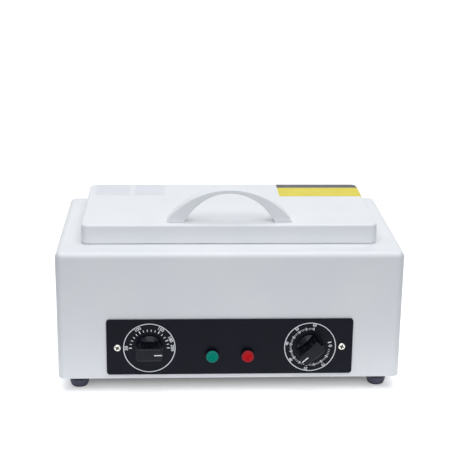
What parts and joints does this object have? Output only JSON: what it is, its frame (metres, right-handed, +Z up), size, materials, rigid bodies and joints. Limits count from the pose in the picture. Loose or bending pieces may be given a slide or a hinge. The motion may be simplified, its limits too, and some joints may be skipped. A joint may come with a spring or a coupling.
{
  "type": "dry heat sterilizer",
  "caption": "Benchtop dry heat sterilizer: steel box with a heated tank under a hinged lid with an arched handle, an instrument tray, thermostat and timer knobs.",
  "frame": {"origin": "on the bench, under the middle of the whole outline", "axes": "+Z up, -Y towards the user (control panel side), +X to the user's right"},
  "size_m": [0.34, 0.2247, 0.1991],
  "materials": {
    "white_paint": "semi-gloss powder coat",
    "black_panel": "satin",
    "black_plastic": "semi-gloss moulded",
    "foot_rubber": "matt",
    "stainless_steel": "satin drawn stainless",
    "zinc_plated_steel": "bright zinc",
    "brass": "turned",
    "insulating_wool": "mineral wool blanket",
    "mica": "pressed mica sheet",
    "silicone": "silicone rubber",
    "white_ceramic": "glazed",
    "green_lens": "clear tinted",
    "red_lens": "clear tinted"
  },
  "bodies": {
    "housing": {"housing_shell": "white_paint", "base_plate": "zinc_plated_steel", "foot_front_left": "foot_rubber", "foot_screw_front_left": "zinc_plated_steel", "foot_rear_left": "foot_rubber", "foot_screw_rear_left": "zinc_plated_steel", "foot_front_right": "foot_rubber", "foot_screw_front_right": "zinc_plated_steel", "foot_rear_right": "foot_rubber", "foot_screw_rear_right": "zinc_plated_steel", "chamber_tank": "stainless_steel", "heater_element": "mica", "heater_clamp_plate": "zinc_plated_steel", "heater_nut_left": "zinc_plated_steel", "heater_nut_right": "zinc_plated_steel", "thermal_cutout": "white_ceramic", "tank_insulation": "insulating_wool", "thermostat_bulb": "brass", "bulb_clip": "stainless_steel", "control_panel": "black_panel", "thermostat_body": "white_ceramic", "timer_body": "zinc_plated_steel", "timer_bell": "brass", "panel_screw_left": "zinc_plated_steel", "panel_screw_right": "zinc_plated_steel", "lamp_green_lens": "green_lens", "lamp_green_body": "white_ceramic", "lamp_red_lens": "red_lens", "lamp_red_body": "white_ceramic", "power_inlet": "black_plastic", "inlet_pin_line": "brass", "inlet_pin_neutral": "brass", "inlet_pin_earth": "brass", "inlet_screw_left": "zinc_plated_steel", "inlet_screw_right": "zinc_plated_steel", "terminal_block": "white_ceramic", "lead_inlet": "silicone", "lead_thermostat": "silicone", "lead_timer": "silicone", "lead_heater": "silicone", "hinge_leaf_fixed_left": "stainless_steel", "hinge_pin_left": "stainless_steel", "hinge_leaf_fixed_right": "stainless_steel", "hinge_pin_right": "stainless_steel"},
    "thermostat_dial": {"thermostat_knob": "black_plastic", "thermostat_shaft": "brass"},
    "timer_dial": {"timer_knob": "black_plastic", "timer_shaft": "brass"},
    "lid": {"lid_shell": "white_paint", "lid_liner": "stainless_steel", "lid_insulation": "insulating_wool", "lid_seal": "silicone", "lid_handle": "white_paint", "handle_screw_left": "zinc_plated_steel", "handle_screw_right": "zinc_plated_steel", "hinge_leaf_lid_left": "stainless_steel", "hinge_leaf_lid_right": "stainless_steel"},
    "tray": {"tray": "stainless_steel", "tray_handle_left": "stainless_steel", "tray_handle_right": "stainless_steel"}
  },
  "joints": [
    {"name": "lid_hinge", "type": "hinge", "parent": "housing", "child": "lid", "pos_m": [0, 0.0937, 0.15005], "axis": [-1, 0, 0], "range_deg": [0, 110]},
    {"name": "tray_lift", "type": "slide", "parent": "housing", "child": "tray", "axis": [0, 0, 1], "range_m": [0, 0.075]},
    {"name": "thermostat_turn", "type": "hinge", "parent": "housing", "child": "thermostat_dial", "pos_m": [-0.0794, -0.0934, 0.0488], "axis": [0, 1, 0], "range_deg": [-180, 0]},
    {"name": "timer_turn", "type": "hinge", "parent": "housing", "child": "timer_dial", "pos_m": [0.0794, -0.0934, 0.0488], "axis": [0, 1, 0], "range_deg": [-153.3, 141.8]}
  ],
  "couplings": [
    {"joint": "tray_lift", "follows": "lid_hinge", "m_per_rad": 0.039}
  ]
}
